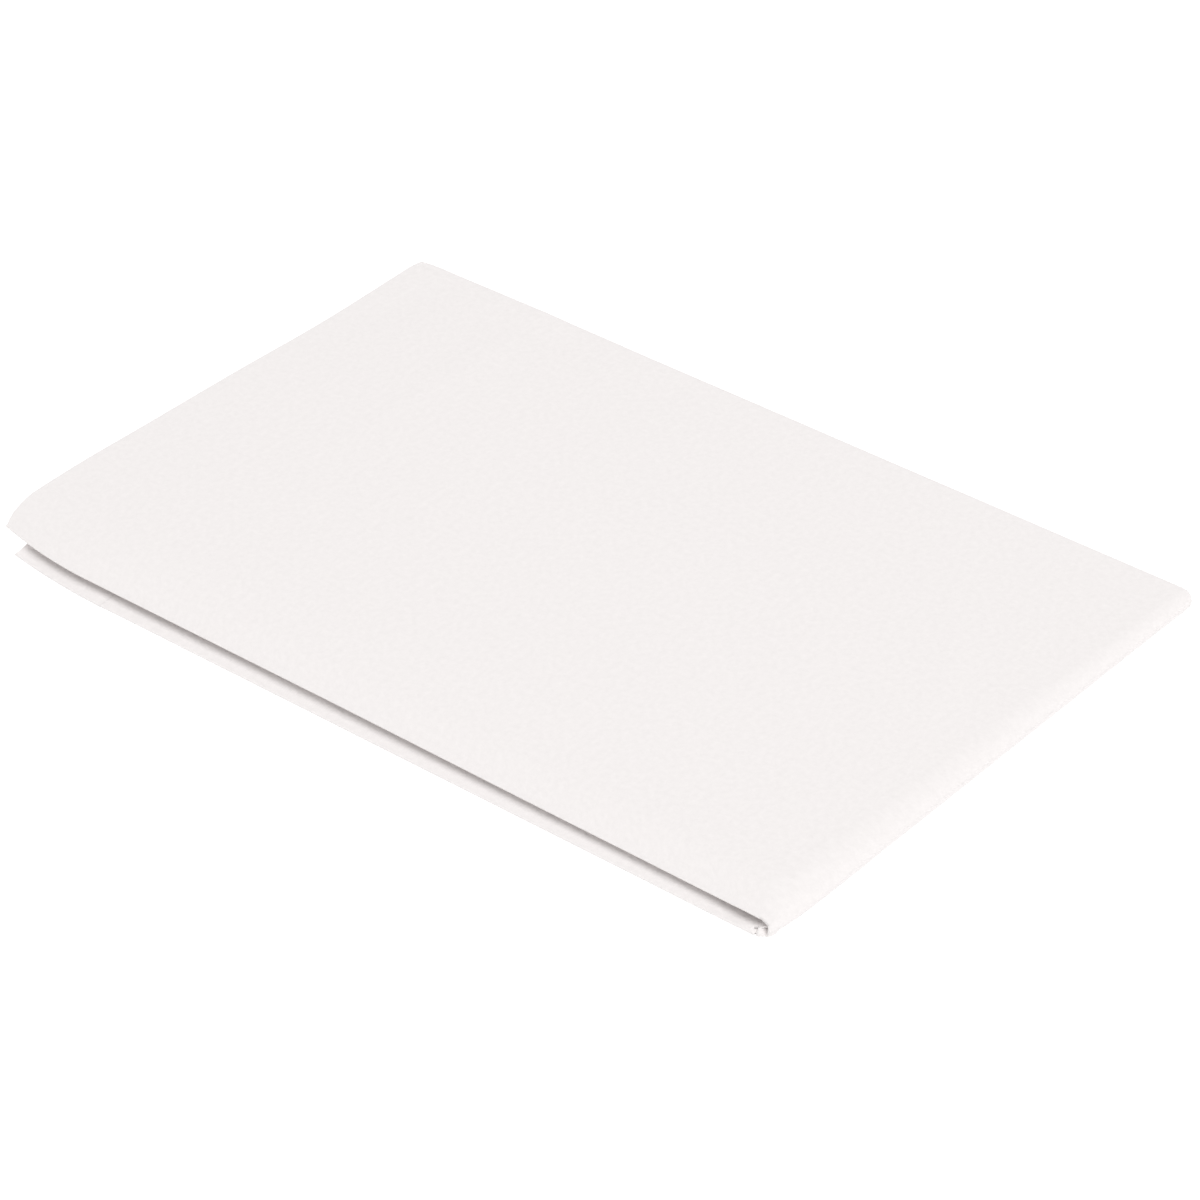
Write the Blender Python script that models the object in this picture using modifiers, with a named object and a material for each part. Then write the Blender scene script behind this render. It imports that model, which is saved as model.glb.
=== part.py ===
"""A plain white cotton pillowcase, pressed flat and folded in half both ways.

The case is a flat bag of two walls that lie face to face, and one layer here is both walls together. It is
folded first along its length, which makes the crease on the front long side, and then across, which makes the
spine at the right-hand short end. That leaves four layers in two groups: the lower group lies on the surface,
and the upper group lies on it. Sizes are in metres. In the tables x runs from the open short ends to the spine
and y from the crease to the open long side. The origin is under the middle of the packet.
"""

import math
from collections import namedtuple

import bmesh
import bpy

# Driving sizes of the folded packet
PACKET_LENGTH = 0.378
PACKET_WIDTH = 0.250
LAYER = 0.0011
LOWER_END_INSET = 0.0150
LOWER_OPEN_INSET = 0.0045

# The crease along the front: the radius of its nose, and how fast the layers draw together behind it
LOWER_NOSE_RADIUS = 0.0007
UPPER_NOSE_RADIUS = 0.0014
LOWER_NOSE_HEIGHT = 0.00125
CREASE_ROLL = 0.015
CREASE_SPREAD = 0.050

# The spine, where the upper group turns down and under: a slack roll at the crease, tighter at the back
SPINE_ROLL_FRONT = 0.014
SPINE_ROLL_BACK = 0.007
SPINE_FOOT_ROLL = 0.005
SPINE_LAYER_STEP = 0.0022

# Corners are rounded in plan: how much is left off, and over what length along the edge
Corner = namedtuple("Corner", "trim reach")
CREASE_AT_OPEN_END = Corner(trim=0.0042, reach=0.050)
OPEN_END_AT_CREASE = Corner(trim=0.0098, reach=0.024)
OPEN_END_AT_BACK = Corner(trim=0.0014, reach=0.009)
BACK_AT_OPEN_END = Corner(trim=0.0012, reach=0.009)
SPINE_AT_CREASE = Corner(trim=0.0025, reach=0.012)
SPINE_AT_BACK = Corner(trim=0.0003, reach=0.005)

# Grid lines of the cloth: in each flat stretch, and round the fold between the two
ACROSS_FLAT = 12
ACROSS_FOLD = 8
ALONG_FLAT = 18
ALONG_FOLD = 12
ACROSS_CROWDING = 1.7
ALONG_EVENNESS = 0.4

# The height of the packet's top face, measured at four lines across it
Top = namedtuple("Top", "x front ridge middle back")
TOPS = (
    Top(x=0.000, front=0.0082, ridge=0.0101, middle=0.0093, back=0.0082),
    Top(x=0.060, front=0.0091, ridge=0.0101, middle=0.0096, back=0.0084),
    Top(x=0.150, front=0.0094, ridge=0.0100, middle=0.0096, back=0.0079),
    Top(x=0.260, front=0.0096, ridge=0.0100, middle=0.0096, back=0.0076),
    Top(x=0.340, front=0.0098, ridge=0.0099, middle=0.0094, back=0.0074),
    Top(x=0.378, front=0.0096, ridge=0.0097, middle=0.0090, back=0.0073),
)
TOP_COLUMNS = ("front", "ridge", "middle", "back")
TOP_LINES = (0.020, 0.045, 0.125, 0.250)

# How far the upper group's crease lies behind the lower one's, its height, and the faces of the gap behind it
Crease = namedtuple("Crease", "x upper_setback upper_height lower_top upper_foot")
CREASES = (
    Crease(x=0.000, upper_setback=0.0045, upper_height=0.0058, lower_top=0.0028, upper_foot=0.0042),
    Crease(x=0.150, upper_setback=0.0043, upper_height=0.0060, lower_top=0.0028, upper_foot=0.0042),
    Crease(x=0.300, upper_setback=0.0040, upper_height=0.0052, lower_top=0.0025, upper_foot=0.0038),
    Crease(x=0.378, upper_setback=0.0038, upper_height=0.0048, lower_top=0.0023, upper_foot=0.0037),
)

# The open short end of the upper group waves a little
Wave = namedtuple("Wave", "y width shift")
END_WAVES = (
    Wave(y=0.055, width=0.030, shift=-0.0009),
    Wave(y=0.185, width=0.045, shift=0.0018),
)

COTTON_COLOUR = (0.913, 0.880, 0.871, 1.0)
COTTON_ROUGHNESS = 0.85


def ease(share):
    """A smooth step from 0 to 1."""
    share = min(max(share, 0.0), 1.0)
    return share * share * (3 - 2 * share)


def mix(start, end, share):
    return start + (end - start) * share


def read(rows, column, x):
    """The value of a table's column at x, with a smooth step from each row to the next."""
    for low, high in zip(rows, rows[1:]):
        if x <= high.x:
            share = ease((x - low.x) / (high.x - low.x))
            return mix(getattr(low, column), getattr(high, column), share)
    return getattr(rows[-1], column)


def top_height(x, y):
    """The height of the packet's top face, before it rolls down at the folds."""
    heights = [read(TOPS, column, x) for column in TOP_COLUMNS]
    for i, (near, far) in enumerate(zip(TOP_LINES, TOP_LINES[1:])):
        if y <= far:
            return mix(heights[i], heights[i + 1], ease((y - near) / (far - near)))
    return heights[-1]


def layer_heights(x, y):
    """The heights of the four layers' middles, from the lowest up."""
    lowest = LAYER / 2
    highest = top_height(x, y) - LAYER / 2
    lower_top = read(CREASES, "lower_top", x) - LAYER / 2
    upper_foot = read(CREASES, "upper_foot", x) + LAYER / 2
    inward = ease((y - CREASE_ROLL) / CREASE_SPREAD)
    second = mix(lower_top, mix(lowest, highest, 1 / 3), inward)
    third = mix(upper_foot, mix(lowest, highest, 2 / 3), inward)
    return lowest, second, third, highest


def trimmed(corner, distance):
    """What a rounded corner leaves off an edge, this far from the corner."""
    return corner.trim * max(0.0, 1 - distance / corner.reach) ** 2


def upper_end_x(y):
    """Where the upper group's open short end lies."""
    x = sum(wave.shift * math.exp(-(((y - wave.y) / wave.width) ** 2)) for wave in END_WAVES)
    return x + trimmed(OPEN_END_AT_CREASE, y) + trimmed(OPEN_END_AT_BACK, PACKET_WIDTH - y)


def spine_x(y):
    """How far out the spine reaches."""
    return PACKET_LENGTH - trimmed(SPINE_AT_CREASE, y) - trimmed(SPINE_AT_BACK, PACKET_WIDTH - y)


def crease_y(upper_share, x):
    """Where the crease lies, from the lower group, 0, round the spine to the upper one, 1."""
    end = mix(LOWER_END_INSET, 0.0, upper_share)
    return upper_share * read(CREASES, "upper_setback", x) + trimmed(CREASE_AT_OPEN_END, x - end)


def open_side_y(upper_share, x):
    """Where the open long side lies, in the same way."""
    return PACKET_WIDTH - LOWER_OPEN_INSET * (1 - upper_share) - trimmed(BACK_AT_OPEN_END, x)


def parted(place, fold_lines, flat_lines):
    """Parts a place on the grid, from -1 to 1, into its angle round the fold and its share of the flat."""
    fold = fold_lines / (fold_lines + 2 * flat_lines)
    angle = max(-1.0, min(1.0, place / fold)) * math.pi / 2
    return angle, max(0.0, (abs(place) - fold) / (1 - fold))


def crease_section(bend, x, turn, upper_share):
    """Round the crease: the distance behind it, and the share of the way from the inner layer to the outer one."""
    heights = layer_heights(x, CREASE_ROLL)
    opening = mix(heights[1] - heights[0], heights[3] - heights[2], upper_share)
    opening = mix(opening, SPINE_LAYER_STEP, math.cos(turn))
    radius = min(mix(LOWER_NOSE_RADIUS, UPPER_NOSE_RADIUS, upper_share), opening / 2)
    lower_nose = 1 - (LOWER_NOSE_HEIGHT - heights[0]) / (heights[1] - heights[0])
    upper_nose = (read(CREASES, "upper_height", x) - heights[2]) / (heights[3] - heights[2])
    nose = mix(lower_nose, upper_nose, upper_share) * opening
    nose = min(max(nose, radius), opening - radius)
    return radius * (1 - math.cos(bend)), (nose + radius * math.sin(bend)) / opening


def folded(across, along):
    """The place of the point of the flat case that lies at (across, along), each from -1 to 1."""
    turn, flat_along = parted(along, ALONG_FOLD, ALONG_FLAT)
    bend, flat_across = parted(across, ACROSS_FOLD, ACROSS_FLAT)
    flat_along = mix(ease(flat_along), flat_along, ALONG_EVENNESS)
    flat_across = flat_across**ACROSS_CROWDING
    is_upper = along > 0
    upper_share = (1 + math.sin(turn)) / 2
    roll = mix(SPINE_ROLL_FRONT, SPINE_ROLL_BACK, abs(across)) if is_upper else SPINE_FOOT_ROLL

    # Across the packet, from the crease to the open side
    end = 0.0 if is_upper else LOWER_END_INSET
    x = mix(PACKET_LENGTH - roll, end, flat_along) + roll * math.cos(turn)
    behind, outward = crease_section(bend, x, turn, upper_share)
    front = crease_y(upper_share, x)
    y = mix(front + behind, open_side_y(upper_share, x), flat_across)
    drawn_flat = ease((y - front - behind) / CREASE_ROLL)
    outward = mix(outward, 1.0 if across > 0 else 0.0, drawn_flat)

    # Along the packet, for the inner and the outer layer of this group
    heights = layer_heights(x, max(y, CREASE_ROLL))
    inner_height, outer_height = (heights[2], heights[3]) if is_upper else (heights[1], heights[0])
    middle = (heights[1] + heights[2]) / 2
    inner_roll = abs(inner_height - middle)
    spine = spine_x(y)
    end = upper_end_x(y) if is_upper else LOWER_END_INSET
    outer_x = mix(spine - roll, end, flat_along) + roll * math.cos(turn)
    inner_x = mix(spine - SPINE_LAYER_STEP - inner_roll, end, flat_along) + inner_roll * math.cos(turn)
    rise = abs(math.sin(turn))
    inner_z = mix(middle, inner_height, rise)
    outer_z = mix(middle, outer_height, rise)
    x = mix(inner_x, outer_x, outward)
    z = mix(inner_z, outer_z, outward)
    return x - PACKET_LENGTH / 2, y - PACKET_WIDTH / 2, z


def white_cotton():
    material = bpy.data.materials.new("white_cotton")
    material.use_nodes = True
    shader = material.node_tree.nodes["Principled BSDF"]
    shader.inputs["Base Color"].default_value = COTTON_COLOUR
    shader.inputs["Roughness"].default_value = COTTON_ROUGHNESS
    shader.inputs["Metallic"].default_value = 0.0
    return material


def sewn_case():
    """The case as one sheet, folded along its length and then across, and given its thickness."""
    sheet = bmesh.new()
    bmesh.ops.create_grid(
        sheet,
        x_segments=ACROSS_FOLD + 2 * ACROSS_FLAT,
        y_segments=ALONG_FOLD + 2 * ALONG_FLAT,
        size=1.0,
    )
    for point in sheet.verts:
        point.co = folded(point.co.x, point.co.y)
    mesh = bpy.data.meshes.new("sewn_case")
    sheet.to_mesh(mesh)
    sheet.free()
    mesh.shade_smooth()
    mesh.materials.append(white_cotton())
    case = bpy.data.objects.new("sewn_case", mesh)
    walls = case.modifiers.new("two walls", "SOLIDIFY")
    walls.thickness = LAYER
    walls.offset = 0.0
    walls.use_even_offset = True
    return case


for old in list(bpy.data.objects):
    bpy.data.objects.remove(old)
packet = bpy.data.collections.new("pillowcase")
bpy.context.scene.collection.children.link(packet)
packet.objects.link(sewn_case())
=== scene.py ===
import math
from collections import namedtuple

import bmesh
import bpy
from mathutils import Matrix, Vector


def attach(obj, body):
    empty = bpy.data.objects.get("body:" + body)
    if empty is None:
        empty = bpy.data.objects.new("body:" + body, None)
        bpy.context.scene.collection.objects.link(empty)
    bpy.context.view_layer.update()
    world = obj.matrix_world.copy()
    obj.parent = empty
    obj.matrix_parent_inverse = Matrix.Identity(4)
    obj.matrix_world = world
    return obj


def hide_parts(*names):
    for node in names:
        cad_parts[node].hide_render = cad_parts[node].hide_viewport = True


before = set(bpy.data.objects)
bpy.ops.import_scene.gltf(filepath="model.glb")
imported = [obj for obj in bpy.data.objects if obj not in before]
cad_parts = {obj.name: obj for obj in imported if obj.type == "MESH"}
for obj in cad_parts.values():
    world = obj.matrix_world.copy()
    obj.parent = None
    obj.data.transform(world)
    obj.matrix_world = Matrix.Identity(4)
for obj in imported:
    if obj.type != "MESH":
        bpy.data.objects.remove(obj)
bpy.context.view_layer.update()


# ------------------------------------------------------------------ how the case lies folded
# A flat bag of two cotton walls, pressed, folded in half along its length, which makes the crease in front,
# and then across, which makes the spine at the right. One layer is both walls, so four lie in two groups.
# Here x runs from the open short ends to the spine and y from the crease to the open long side, in metres.
PACKET_LENGTH = 0.378
PACKET_WIDTH = 0.250
LAYER = 0.0011

# How far the lower group's open edges lie in from the upper one's
LOWER_END_INSET = 0.0150
LOWER_OPEN_INSET = 0.0045

# The crease: how tightly the cloth turns at its nose, and how far behind it the layers come to lie flat
LOWER_NOSE_RADIUS = 0.0003
UPPER_NOSE_RADIUS = 0.0002
LOWER_NOSE_HEIGHT = 0.0008
CREASE_ROLL = 0.015
CREASE_SPREAD = 0.050

# The spine: how far in from its edge the top and the foot round over, how full the foot's curve is, and how
# far apart its two layers are
SPINE_ROLL_FRONT = 0.014
SPINE_ROLL_BACK = 0.005
SPINE_FOOT_ROLL = 0.0026
SPINE_FOOT_FULLNESS = 0.75
SPINE_LAYER_STEP = 0.0022

# How much the rounding of a corner trims off an edge, and how far along that edge it reaches
Corner = namedtuple("Corner", "trim reach")
LOWER_CREASE_AT_OPEN_END = Corner(trim=0.0042, reach=0.050)
UPPER_CREASE_AT_OPEN_END = Corner(trim=0.0060, reach=0.045)
OPEN_END_AT_CREASE = Corner(trim=0.0095, reach=0.031)
OPEN_END_AT_BACK = Corner(trim=0.0014, reach=0.009)
BACK_AT_OPEN_END = Corner(trim=0.0012, reach=0.009)
SPINE_AT_CREASE = Corner(trim=0.0045, reach=0.008)
SPINE_FLARE = Corner(trim=0.0018, reach=0.050)
SPINE_AT_BACK = Corner(trim=0.0003, reach=0.005)

# Where the crease goes round the spine its nose crumples into a small pocket. From the lower group, -1, to
# the upper one, 1, three lines of the cloth run here: the skin's edge, the nose and the inner layer's edge.
Tuck = namedtuple("Tuck", "along skin_x skin_y skin_z nose_x nose_y nose_z inner_x inner_y inner_z")
TUCKS = (
    Tuck(-1.00, 0.3696, 0.0004, 0.0004, 0.3690, 0.0001, 0.0009, 0.3678, 0.0012, 0.0015),
    Tuck(-0.86, 0.3703, 0.0016, 0.0003, 0.3696, 0.0050, 0.0012, 0.3686, 0.0090, 0.0020),
    Tuck(-0.72, 0.3709, 0.0008, 0.0003, 0.3708, 0.0012, 0.0014, 0.3703, 0.0030, 0.0023),
    Tuck(-0.58, 0.3718, 0.0009, 0.0003, 0.3715, 0.0009, 0.0016, 0.3709, 0.0022, 0.0026),
    Tuck(-0.44, 0.3731, 0.0020, 0.0003, 0.3726, 0.0019, 0.0015, 0.3713, 0.0046, 0.0024),
    Tuck(-0.30, 0.3743, 0.0026, 0.0004, 0.3715, 0.0080, 0.0015, 0.3695, 0.0120, 0.0022),
    Tuck(0.00, 0.3744, 0.0027, 0.0026, 0.3690, 0.0130, 0.0024, 0.3665, 0.0130, 0.0027),
    Tuck(0.50, 0.3742, 0.0031, 0.0046, 0.3690, 0.0110, 0.0036, 0.3665, 0.0110, 0.0034),
    Tuck(1.00, 0.3698, 0.0040, 0.0055, 0.3702, 0.0038, 0.0053, 0.3708, 0.0040, 0.0051),
)

# How far from the crease the crumpling reaches, in the skin and the inner layer, and how far from the spine
TUCK_SKIN_REACH = 0.006
TUCK_INNER_REACH = 0.022
TUCK_END_REACH = 0.010

# The height of the top face along four lines: the front, the crest behind it, which wanders away from the
# crease towards the spine, the middle and the back. The front and the middle line lie at the y given below.
Top = namedtuple("Top", "x front crest crest_y middle back")
TOPS = (
    Top(x=0.000, front=0.0082, crest=0.0096, crest_y=0.030, middle=0.0093, back=0.0082),
    Top(x=0.060, front=0.0090, crest=0.0100, crest_y=0.032, middle=0.0096, back=0.0084),
    Top(x=0.150, front=0.0091, crest=0.0102, crest_y=0.044, middle=0.0096, back=0.0079),
    Top(x=0.260, front=0.0092, crest=0.0102, crest_y=0.058, middle=0.0096, back=0.0076),
    Top(x=0.340, front=0.0094, crest=0.0099, crest_y=0.060, middle=0.0094, back=0.0074),
    Top(x=0.378, front=0.0094, crest=0.0096, crest_y=0.060, middle=0.0090, back=0.0073),
)
FRONT_LINE = 0.014
MIDDLE_LINE = 0.140

# How far the upper group's crease lies behind the lower one's, its height, the faces of the gap between the
# groups there, and how far behind the crease the inner and the outer layers take to reach their own heights
Crease = namedtuple("Crease", "x setback height lower_top upper_foot inner_roll outer_roll")
CREASES = (
    Crease(0.000, 0.0045, 0.0058, 0.0031, 0.0042, 0.012, 0.006),
    Crease(0.060, 0.0045, 0.0058, 0.0032, 0.0042, 0.011, 0.013),
    Crease(0.150, 0.0043, 0.0060, 0.0036, 0.0044, 0.009, 0.015),
    Crease(0.300, 0.0040, 0.0055, 0.0034, 0.0042, 0.008, 0.015),
    Crease(0.348, 0.0039, 0.0054, 0.0032, 0.0041, 0.008, 0.015),
    Crease(0.358, 0.0039, 0.0054, 0.0024, 0.0038, 0.009, 0.015),
    Crease(0.365, 0.0038, 0.0053, 0.0016, 0.0036, 0.009, 0.015),
    Crease(0.378, 0.0038, 0.0052, 0.0021, 0.0036, 0.010, 0.015),
)

# The upper group's short end isn't quite straight: each slow wave moves it along x
Wave = namedtuple("Wave", "y width shift")
END_WAVES = (
    Wave(y=0.055, width=0.030, shift=-0.0009),
    Wave(y=0.185, width=0.045, shift=0.0018),
)

# Soft marks that pressing left in the top layer, turned by degrees from the packet's length. A ridge stands
# up where height is positive, and a trough sinks.
Mark = namedtuple("Mark", "x y turn length width height")
MARKS = (
    Mark(x=0.326, y=0.171, turn=-28, length=0.018, width=0.0035, height=0.00035),
    Mark(x=0.348, y=0.158, turn=-50, length=0.022, width=0.0050, height=-0.00030),
    Mark(x=0.338, y=0.150, turn=-62, length=0.030, width=0.0060, height=0.00025),
    Mark(x=0.068, y=0.200, turn=90, length=0.060, width=0.0070, height=0.00030),
    Mark(x=0.020, y=0.222, turn=80, length=0.030, width=0.0080, height=-0.00030),
    Mark(x=0.085, y=0.238, turn=12, length=0.030, width=0.0090, height=-0.00035),
    Mark(x=0.110, y=0.242, turn=-35, length=0.012, width=0.0050, height=0.00025),
)


def ease(share):
    """A smooth step from 0 to 1."""
    share = min(max(share, 0.0), 1.0)
    return share * share * (3 - 2 * share)


def mix(start, end, share):
    return start + (end - start) * share


def read(rows, column, place):
    """A column's value at a place along the table's first column, eased from each row to the next."""
    for low, high in zip(rows, rows[1:]):
        if place <= high[0]:
            share = ease((place - low[0]) / (high[0] - low[0]))
            return mix(getattr(low, column), getattr(high, column), share)
    return getattr(rows[-1], column)


def top_height(x, y):
    """The height of the packet's top face, before it rolls down at the folds."""
    lines = (FRONT_LINE, read(TOPS, "crest_y", x), MIDDLE_LINE, PACKET_WIDTH)
    heights = [read(TOPS, column, x) for column in ("front", "crest", "middle", "back")]
    for i, (near, far) in enumerate(zip(lines, lines[1:])):
        if y <= far:
            return mix(heights[i], heights[i + 1], ease((y - near) / (far - near)))
    return heights[-1]


def mark_height(x, y):
    """How far the pressed marks lift the top layer here."""
    lift = 0.0
    for mark in MARKS:
        turn = math.radians(mark.turn)
        along = (x - mark.x) * math.cos(turn) + (y - mark.y) * math.sin(turn)
        beside = (y - mark.y) * math.cos(turn) - (x - mark.x) * math.sin(turn)
        lift += mark.height * math.exp(-((along / mark.length) ** 2) - (beside / mark.width) ** 2)
    return lift


def layer_heights(x, y):
    """The heights of the four layers' middles, from the lowest up. Far from the crease they are even."""
    lowest = LAYER / 2
    highest = top_height(x, y) - LAYER / 2
    lower_top = read(CREASES, "lower_top", x) - LAYER / 2
    upper_foot = read(CREASES, "upper_foot", x) + LAYER / 2
    inward = ease((y - CREASE_ROLL) / CREASE_SPREAD)
    second = mix(lower_top, mix(lowest, highest, 1 / 3), inward)
    third = mix(upper_foot, mix(lowest, highest, 2 / 3), inward)
    return lowest, second, third, highest


def trimmed(corner, distance):
    """What a rounded corner leaves off an edge, this far from the corner."""
    return corner.trim * max(0.0, 1 - distance / corner.reach) ** 2


def upper_end_x(y):
    """Where the upper group's short end lies."""
    x = sum(wave.shift * math.exp(-(((y - wave.y) / wave.width) ** 2)) for wave in END_WAVES)
    return x + trimmed(OPEN_END_AT_CREASE, y) + trimmed(OPEN_END_AT_BACK, PACKET_WIDTH - y)


def spine_x(y):
    """How far out the spine reaches."""
    front = trimmed(SPINE_AT_CREASE, y) + trimmed(SPINE_FLARE, y)
    return PACKET_LENGTH - front - trimmed(SPINE_AT_BACK, PACKET_WIDTH - y)


def crease_y(upper_share, x):
    """Where the crease lies, from the lower group, 0, round the spine to the upper one, 1."""
    lower = trimmed(LOWER_CREASE_AT_OPEN_END, x - LOWER_END_INSET)
    upper = trimmed(UPPER_CREASE_AT_OPEN_END, x) + read(CREASES, "setback", x)
    return mix(lower, upper, upper_share)


def open_side_y(upper_share, x):
    """Where the open long side lies, in the same way."""
    return PACKET_WIDTH - LOWER_OPEN_INSET * (1 - upper_share) - trimmed(BACK_AT_OPEN_END, x)


def crease_section(bend, x, turn, upper_share):
    """Round the crease: how far behind it, and what share of the way from the inner to the outer layer."""
    heights = layer_heights(x, CREASE_ROLL)
    opening = mix(heights[1] - heights[0], heights[3] - heights[2], upper_share)
    opening = mix(opening, SPINE_LAYER_STEP, math.cos(turn))
    radius = min(mix(LOWER_NOSE_RADIUS, UPPER_NOSE_RADIUS, upper_share), opening / 2)
    lower_nose = 1 - (LOWER_NOSE_HEIGHT - heights[0]) / (heights[1] - heights[0])
    upper_nose = (read(CREASES, "height", x) - heights[2]) / (heights[3] - heights[2])
    nose = mix(lower_nose, upper_nose, upper_share) * opening
    nose = min(max(nose, radius), opening - radius)
    return radius * (1 - math.cos(bend)), (nose + radius * math.sin(bend)) / opening


def smooth_fold(across, along):
    """Where a point of the flat case lies before the pocket crumples, and how far behind the crease."""
    turn = max(-1.0, min(1.0, along)) * math.pi / 2
    bend = max(-1.0, min(1.0, across)) * math.pi / 2
    flat_along = max(0.0, abs(along) - 1)
    flat_across = max(0.0, abs(across) - 1)
    is_upper = along > 0
    upper_share = (1 + math.sin(turn)) / 2
    roll = mix(SPINE_ROLL_FRONT, SPINE_ROLL_BACK, flat_across) if is_upper else SPINE_FOOT_ROLL
    fullness = 1.0 if is_upper else SPINE_FOOT_FULLNESS
    rise = abs(math.sin(turn))
    bulge = mix(1 - rise, math.cos(turn), fullness)

    # Across the packet, from the crease to the open side
    end = 0.0 if is_upper else LOWER_END_INSET
    x = mix(PACKET_LENGTH - roll, end, flat_along) + roll * bulge
    behind, outward = crease_section(bend, x, turn, upper_share)
    front = crease_y(upper_share, x)
    y = mix(front + behind, open_side_y(upper_share, x), flat_across)
    crease_roll = read(CREASES, "outer_roll" if across > 0 else "inner_roll", x)
    drawn_flat = ease((y - front - behind) / crease_roll)
    outward = mix(outward, 1.0 if across > 0 else 0.0, drawn_flat)

    # Along the packet, for the inner and the outer layer of this group
    heights = layer_heights(x, max(y, FRONT_LINE))
    inner_height, outer_height = (heights[2], heights[3]) if is_upper else (heights[1], heights[0])
    middle = (heights[1] + heights[2]) / 2
    inner_roll = abs(inner_height - middle)
    spine = spine_x(y)
    end = upper_end_x(y) if is_upper else LOWER_END_INSET
    outer_x = mix(spine - roll, end, flat_along) + roll * bulge
    inner_x = mix(spine - SPINE_LAYER_STEP - inner_roll, end, flat_along) + inner_roll * math.cos(turn)
    if is_upper:
        outer_height += mark_height(outer_x, y)
    inner_z = mix(middle, inner_height, rise)
    outer_z = mix(middle, outer_height, rise)
    place = Vector((mix(inner_x, outer_x, outward), y, mix(inner_z, outer_z, outward)))
    return place, y - front - behind


def tuck_shift(across, along, from_crease):
    """How far the crumpled pocket moves the cloth here: most at the crease, and less away from it."""
    from_end = max(0.0, abs(along) - 1) * PACKET_LENGTH
    edge, reach = ("skin", TUCK_SKIN_REACH) if across > 0 else ("inner", TUCK_INNER_REACH)
    share = (1 - ease(from_crease / reach)) * (1 - ease(from_end / TUCK_END_REACH))
    if share == 0:
        return Vector()
    at_fold = max(-1.0, min(1.0, across))
    at_spine = max(-1.0, min(1.0, along))
    from_nose = abs(math.sin(at_fold * math.pi / 2))
    tuck = [
        mix(read(TUCKS, f"nose_{axis}", at_spine), read(TUCKS, f"{edge}_{axis}", at_spine), from_nose)
        for axis in "xyz"
    ]
    return (Vector(tuck) - smooth_fold(at_fold, at_spine)[0]) * share


def folded(across, along):
    """Where a point of the flat case lies. A fold runs from -1 to 1, and the edges are at -2 and 2."""
    place, from_crease = smooth_fold(across, along)
    place += tuck_shift(across, along, from_crease)
    return place - Vector((PACKET_LENGTH / 2, PACKET_WIDTH / 2, 0.0))


# ------------------------------------------------------------------ the sewn case
# One length of cotton percale, folded at its closed short end, sewn up both long sides and turned, so each
# side seam is a fine groove between two rounded edges, with its turnings inside. The mouth has a deep hem,
# where the cloth is doubled. The two walls are one bag, open at the mouth, each as thick as the cloth.
PLY = 0.00025
HEM_PLIES = 2

# Half the distance between the walls' outer faces, and how far behind the crease pressing still thins it
SKIN_HALF = 0.00045
CREASE_SKIN_HALF = 0.00027
CREASE_THINNING = 0.006

# The turnings inside the side seams, and the hem: how deep they are, how far they lift the walls, and how
# gently they begin
TURNING_DEPTH = 0.009
TURNING_RISE = 0.00012
SEAM_GROOVE = 0.0003
HEM_DEPTH = 0.055
HEM_RISE = 0.00015
HEM_STEP = 0.0015

# How much of the cloth goes round a fold
CREASE_RUN = 0.0014
SPINE_RUN = 0.020

# Grid lines: the first step from a fold and from a sewn edge, how fast the steps grow, the widest ones, and
# how many lines go round each fold
FOLD_STEP = 0.0010
EDGE_STEP = 0.00006
STEP_GROWTH = 1.7
OUTER_WIDEST = 0.0046
INNER_WIDEST = 0.0110
ACROSS_FOLD_LINES = 20
ALONG_FOLD_LINES = 40


def half_run(first, widest, reach):
    """Distances from an edge of a flat run, with steps that grow from the first to the widest."""
    places = [0.0]
    step = first
    while places[-1] + step < reach:
        places.append(places[-1] + step)
        step = min(step * STEP_GROWTH, widest)
    return places


def run_shares(length, widest):
    """The shares of a flat run's length at which its grid lines lie, from the fold to the far edge."""
    from_fold = half_run(FOLD_STEP, widest, length / 2)
    from_edge = half_run(EDGE_STEP, widest, length / 2)
    return [place / length for place in from_fold] + [1 - place / length for place in reversed(from_edge)]


def grid_places(length, fold_lines):
    """Every grid line's place from -2 to 2: the half that shows least, round the fold, the other half."""
    hidden = [-1 - share for share in reversed(run_shares(length, INNER_WIDEST))]
    fold = [2 * i / fold_lines - 1 for i in range(1, fold_lines)]
    shown = [1 + share for share in run_shares(length, OUTER_WIDEST)]
    return hidden + fold + shown


def skin_half(across, along):
    """Half the distance between the outer faces of the two walls."""
    from_seam = (2 - abs(across)) * PACKET_WIDTH
    from_end = (2 - abs(along)) * PACKET_LENGTH
    from_crease = max(0.0, abs(across) - 1) * PACKET_WIDTH
    half = mix(CREASE_SKIN_HALF, SKIN_HALF, ease(from_crease / CREASE_THINNING))
    half += TURNING_RISE * ease(1 - (from_seam - TURNING_DEPTH) / HEM_STEP)
    if along < 0:
        half += HEM_RISE * ease(1 - (from_end - HEM_DEPTH) / HEM_STEP)
    rounding = max(0.0, 1 - from_seam / half)
    if along > 0:
        rounding = max(rounding, 1 - from_end / half)
    return half * math.sqrt(1 - rounding**2)


def run_to(place, round_fold, flat):
    """How far along the cloth a place lies from the middle of the fold, in metres."""
    return math.copysign(min(abs(place), 1.0) * round_fold / 2 + max(0.0, abs(place) - 1) * flat, place)


def linear(hex_colour):
    """An sRGB hex colour as linear red, green, blue and alpha."""
    parts = [int(hex_colour[i : i + 2], 16) / 255 for i in (1, 3, 5)]
    return [part / 12.92 if part <= 0.04045 else ((part + 0.055) / 1.055) ** 2.4 for part in parts] + [1.0]


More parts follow.
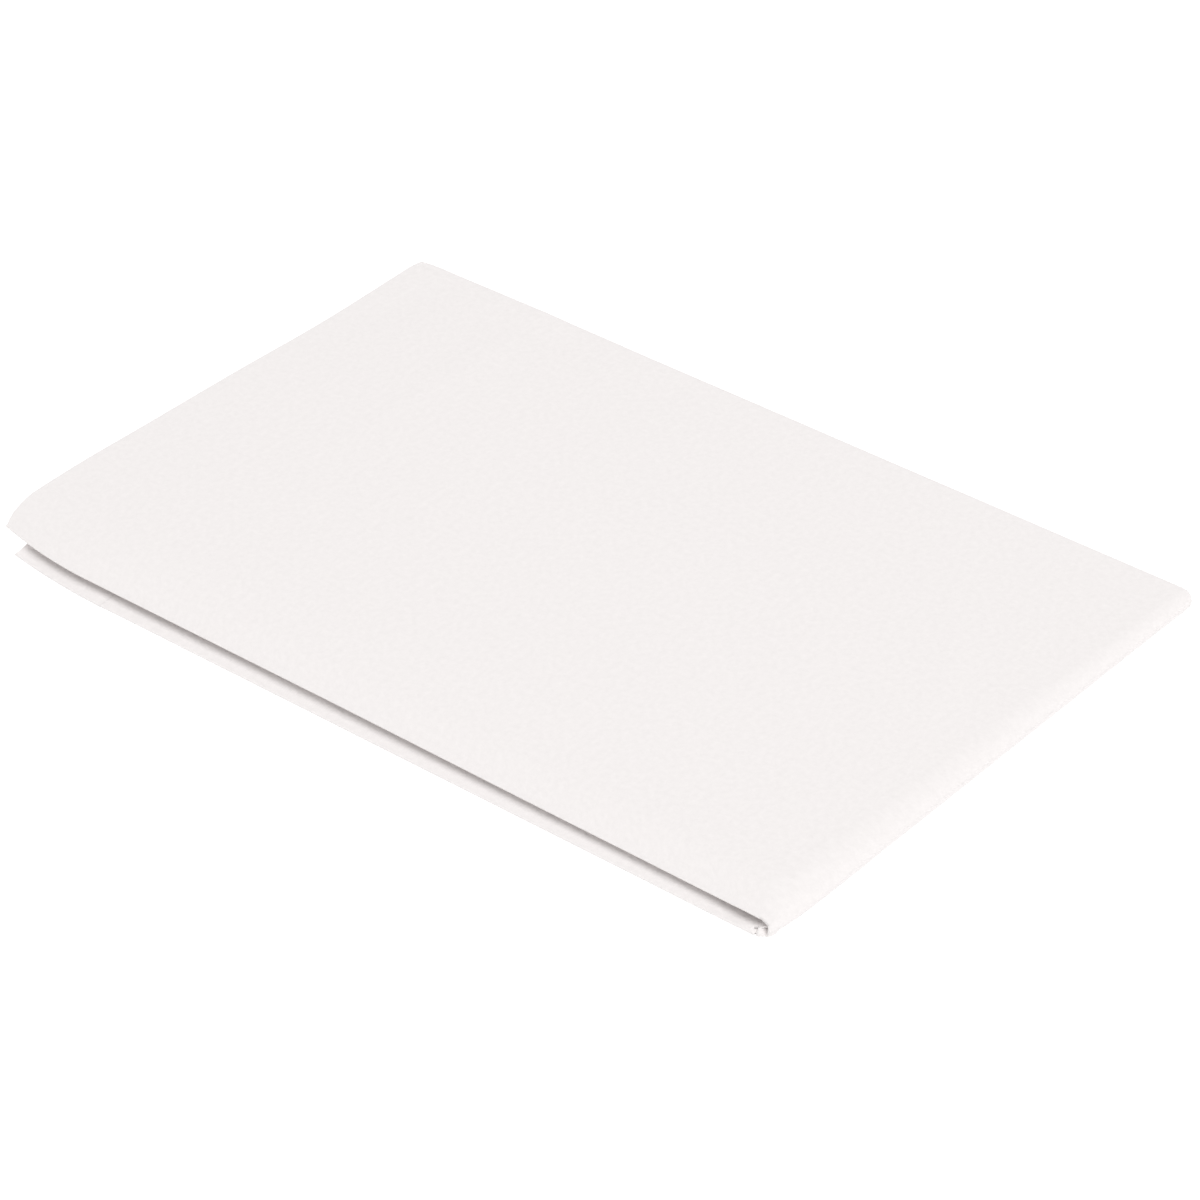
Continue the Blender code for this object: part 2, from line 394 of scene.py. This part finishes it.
def add_node(material, kind, inputs=(), **settings):
    """Adds a node with its settings, and its inputs as values or as the sockets they are linked from."""
    node = material.node_tree.nodes.new(kind)
    for name, value in settings.items():
        setattr(node, name, value)
    for name, value in dict(inputs).items():
        if isinstance(value, bpy.types.NodeSocket):
            material.node_tree.links.new(value, node.inputs[name])
        else:
            node.inputs[name].default_value = value
    return node


# Cotton percale, pressed: a matt, close plain weave with a faint nap, in a slightly warm white. Its threads
# are 0.25 mm apart, too fine to show, so they are drawn 0.5 mm apart. Slubs, the thick places in the yarn,
# and slack in the pressed cloth give it fine specks and a faint mottling, from 0.6 to 3 mm across.
COTTON = "#F3EFEE"
SLUB_COTTON = "#E7E3E2"
THREAD_SPACING = 0.0005
WEAVE_HEIGHT = 0.00002
MOTTLE_SIZE = 0.0026
MOTTLE_HEIGHT = 0.00006

# The hem's lockstitch in cotton thread, 3 mm to a stitch, sunk a little into the cloth, and how far it runs
# from the mouth
SEWING_THREAD = "#E6E2E1"
STITCH_LENGTH = 0.0030
STITCH_GAP = 0.0006
THREAD_WIDTH = 0.0006
THREAD_SINK = 0.00004
STITCH_LINE = HEM_DEPTH - 2 * HEM_STEP

# Blender's wave texture has its waves this far apart at a scale of 1
WAVE_SPACING = 2 * math.pi / 20

percale = bpy.data.materials.new("cotton_percale")
percale.use_nodes = True
cotton = percale.node_tree.nodes["Principled BSDF"]
cotton.inputs["Roughness"].default_value = 0.88
cotton.inputs["Specular IOR Level"].default_value = 0.25
cotton.inputs["Sheen Weight"].default_value = 0.10
cotton.inputs["Sheen Roughness"].default_value = 0.50
on_cloth = add_node(percale, "ShaderNodeUVMap", uv_map="cloth").outputs["UV"]

# Two sets of threads cross, with the mottling over them
threads = [
    add_node(
        percale,
        "ShaderNodeTexWave",
        {"Vector": on_cloth, "Scale": WAVE_SPACING / THREAD_SPACING, "Distortion": 0.6, "Detail": 1.0},
        bands_direction=direction,
    ).outputs["Fac"]
    for direction in "XY"
]
weave = add_node(percale, "ShaderNodeMath", {0: threads[0], 1: threads[1]}, operation="MULTIPLY").outputs[0]
mottle = add_node(
    percale,
    "ShaderNodeTexNoise",
    {"Vector": on_cloth, "Scale": 1 / MOTTLE_SIZE, "Detail": 2.0, "Roughness": 0.75},
).outputs["Fac"]

# The stitches lie on one line of the hem, between the holes that the needle left
hem_line = STITCH_LINE - SPINE_RUN / 2 - PACKET_LENGTH
cloth_axes = add_node(percale, "ShaderNodeSeparateXYZ", {"Vector": on_cloth}).outputs
on_line = add_node(
    percale,
    "ShaderNodeMath",
    {0: cloth_axes["Y"], 1: hem_line, 2: THREAD_WIDTH / 2},
    operation="COMPARE",
).outputs[0]
from_hole = add_node(
    percale, "ShaderNodeMath", {0: cloth_axes["X"], 1: STITCH_LENGTH / 2}, operation="PINGPONG"
).outputs[0]
off_hole = add_node(
    percale, "ShaderNodeMath", {0: from_hole, 1: STITCH_GAP / 2}, operation="GREATER_THAN"
).outputs[0]
stitch = add_node(percale, "ShaderNodeMath", {0: on_line, 1: off_hole}, operation="MULTIPLY").outputs[0]

yarn_colour = add_node(
    percale, "ShaderNodeMix", {0: mottle, 6: linear(COTTON), 7: linear(SLUB_COTTON)}, data_type="RGBA"
).outputs[2]
sewn_colour = add_node(
    percale, "ShaderNodeMix", {0: stitch, 6: yarn_colour, 7: linear(SEWING_THREAD)}, data_type="RGBA"
).outputs[2]
percale.node_tree.links.new(sewn_colour, cotton.inputs["Base Color"])

weave_bump = add_node(
    percale, "ShaderNodeBump", {"Height": weave, "Distance": WEAVE_HEIGHT, "Strength": 1.0}
).outputs["Normal"]
mottle_bump = add_node(
    percale,
    "ShaderNodeBump",
    {"Height": mottle, "Distance": MOTTLE_HEIGHT, "Strength": 1.0, "Normal": weave_bump},
).outputs["Normal"]
stitch_bump = add_node(
    percale,
    "ShaderNodeBump",
    {"Height": on_line, "Distance": THREAD_SINK, "Strength": 1.0, "Normal": mottle_bump},
    invert=True,
).outputs["Normal"]
percale.node_tree.links.new(stitch_bump, cotton.inputs["Normal"])

# One wall is a flat grid, with the cloth's own lengths as its UV map, that is then folded
across_places = grid_places(PACKET_WIDTH, ACROSS_FOLD_LINES)
along_places = grid_places(PACKET_LENGTH, ALONG_FOLD_LINES)


def on_flat_case(vert):
    """Where a vertex of the grid lies on the flat case, across it and along it."""
    column = round((vert.co.x + 1) / 2 * (len(across_places) - 1))
    row = round((vert.co.y + 1) / 2 * (len(along_places) - 1))
    return across_places[column], along_places[row]


case_mesh = bmesh.new()
bmesh.ops.create_grid(
    case_mesh, x_segments=len(across_places) - 1, y_segments=len(along_places) - 1, size=1.0
)
cloth_uv = case_mesh.loops.layers.uv.new("cloth")
skin = case_mesh.verts.layers.float.new("skin")
hem = case_mesh.verts.layers.float.new("hem")
groove = case_mesh.verts.layers.float.new("groove")
for face in case_mesh.faces:
    for loop in face.loops:
        across, along = on_flat_case(loop.vert)
        loop[cloth_uv].uv = (
            run_to(across, CREASE_RUN, PACKET_WIDTH),
            run_to(along, SPINE_RUN, PACKET_LENGTH),
        )
for vert in case_mesh.verts:
    across, along = on_flat_case(vert)
    vert.co = folded(across, along)
    vert[skin] = skin_half(across, along)
    vert[hem] = ease(1 - ((2 + along) * PACKET_LENGTH - HEM_DEPTH) / HEM_STEP)
    vert[groove] = SEAM_GROOVE if abs(across) == 2 else 0.0

# The second wall is a copy of it. The two move apart, and are sewn where their edges still meet.
SEWN_WITHIN = 0.000001
case_mesh.normal_update()
outer_wall = case_mesh.verts[:] + case_mesh.edges[:] + case_mesh.faces[:]
inner_wall = bmesh.ops.duplicate(case_mesh, geom=outer_wall)["geom"]
inner_faces = [part for part in inner_wall if isinstance(part, bmesh.types.BMFace)]
inner_verts = {part for part in inner_wall if isinstance(part, bmesh.types.BMVert)}
for vert in case_mesh.verts:
    side = -1 if vert in inner_verts else 1
    vert.co += side * vert[skin] * vert.normal
    vert.co.y -= vert[groove]
    vert.co.z = max(vert.co.z, 0.0)
bmesh.ops.reverse_faces(case_mesh, faces=inner_faces)
bmesh.ops.remove_doubles(case_mesh, verts=case_mesh.verts, dist=SEWN_WITHIN)
hem_shares = [vert[hem] for vert in case_mesh.verts]

cotton_walls = bpy.data.meshes.new("cotton_case")
case_mesh.to_mesh(cotton_walls)
case_mesh.free()
cotton_walls.shade_smooth()
cotton_walls.materials.append(percale)
case = bpy.data.objects.new("cotton_case", cotton_walls)
bpy.context.scene.collection.objects.link(case)

# The cloth's thickness goes inwards from the walls' outer faces, and is doubled in the hem
plies = case.vertex_groups.new(name="plies")
for index, share in enumerate(hem_shares):
    plies.add([index], mix(1 / HEM_PLIES, 1.0, share), "REPLACE")
cloth = case.modifiers.new("cloth thickness", "SOLIDIFY")
cloth.thickness = HEM_PLIES * PLY
cloth.offset = -1.0
cloth.vertex_group = "plies"
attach(case, "root")
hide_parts("sewn_case")


# ------------------------------------------------------------------ floor, light and camera
# The floor is a light table, a sheet of opal acrylic with lamps below it, a hair under the cloth. A pale
# dome stands all round, and one large soft light hangs overhead. The camera looks down from the front right.
FLOOR_SIDE = 8.0
FLOOR_GAP = 0.0003
floor_mesh = bmesh.new()
bmesh.ops.create_grid(
    floor_mesh,
    x_segments=1,
    y_segments=1,
    size=FLOOR_SIDE / 2,
    matrix=Matrix.Translation((0.0, 0.0, -FLOOR_GAP)),
)
table_top = bpy.data.meshes.new("studio_floor")
floor_mesh.to_mesh(table_top)
floor_mesh.free()
floor = bpy.data.objects.new("studio_floor", table_top)
bpy.context.scene.collection.objects.link(floor)

# Opal acrylic, matt: it lets most light through and throws little back, so its white is that of the lamps
OPAL_ACRYLIC = "#404040"
LAMP_GLOW = 1.34
acrylic = bpy.data.materials.new("lit_white_acrylic")
acrylic.use_nodes = True
opal = acrylic.node_tree.nodes["Principled BSDF"]
opal.inputs["Base Color"].default_value = linear(OPAL_ACRYLIC)
opal.inputs["Roughness"].default_value = 0.95
opal.inputs["Specular IOR Level"].default_value = 0.0
opal.inputs["Emission Color"].default_value = (1.0, 1.0, 1.0, 1.0)
opal.inputs["Emission Strength"].default_value = LAMP_GLOW
table_top.materials.append(acrylic)

DOME_STRENGTH = 0.54
world = bpy.data.worlds.new("pale dome")
bpy.context.scene.world = world
world.use_nodes = True
world.node_tree.nodes["Background"].inputs["Color"].default_value = (1.0, 1.0, 1.0, 1.0)
world.node_tree.nodes["Background"].inputs["Strength"].default_value = DOME_STRENGTH

KEY_FROM = Vector((0.28, -0.12, 1.0)).normalized()
KEY_DISTANCE = 10.0
KEY_SIDE = 8.0
KEY_POWER = 680.0
key_light = bpy.data.lights.new("key", "AREA")
key_light.shape = "SQUARE"
key_light.size = KEY_SIDE
key_light.energy = KEY_POWER
key = bpy.data.objects.new("key", key_light)
key.location = KEY_FROM * KEY_DISTANCE
key.rotation_euler = KEY_FROM.to_track_quat("Z", "Y").to_euler()
bpy.context.scene.collection.objects.link(key)

# The camera's place and lens, fitted to the packet's corners: 35 degrees above it and rolled by a degree
CAMERA_AZIMUTH = math.radians(40.472)
CAMERA_ELEVATION = math.radians(35.041)
CAMERA_ROLL = math.radians(-1.11)
CAMERA_DISTANCE = 1.7752
CAMERA_TARGET = Vector((0.01537, -0.006385, 0.0))
CAMERA_LENS = 144.59
CAMERA_SENSOR = 36.0
away = Vector(
    (
        math.sin(CAMERA_AZIMUTH) * math.cos(CAMERA_ELEVATION),
        -math.cos(CAMERA_AZIMUTH) * math.cos(CAMERA_ELEVATION),
        math.sin(CAMERA_ELEVATION),
    )
)
level = Vector((math.cos(CAMERA_AZIMUTH), math.sin(CAMERA_AZIMUTH), 0.0))
right = Matrix.Rotation(CAMERA_ROLL, 3, away) @ level
camera_data = bpy.data.cameras.new("camera")
camera_data.lens = CAMERA_LENS
camera_data.sensor_width = CAMERA_SENSOR
camera = bpy.data.objects.new("camera", camera_data)
camera.matrix_world = Matrix.Translation(CAMERA_TARGET + away * CAMERA_DISTANCE) @ Matrix(
    (right, away.cross(right), away)
).transposed().to_4x4()
bpy.context.scene.collection.objects.link(camera)
bpy.context.scene.camera = camera
bpy.context.scene.view_settings.view_transform = "Standard"
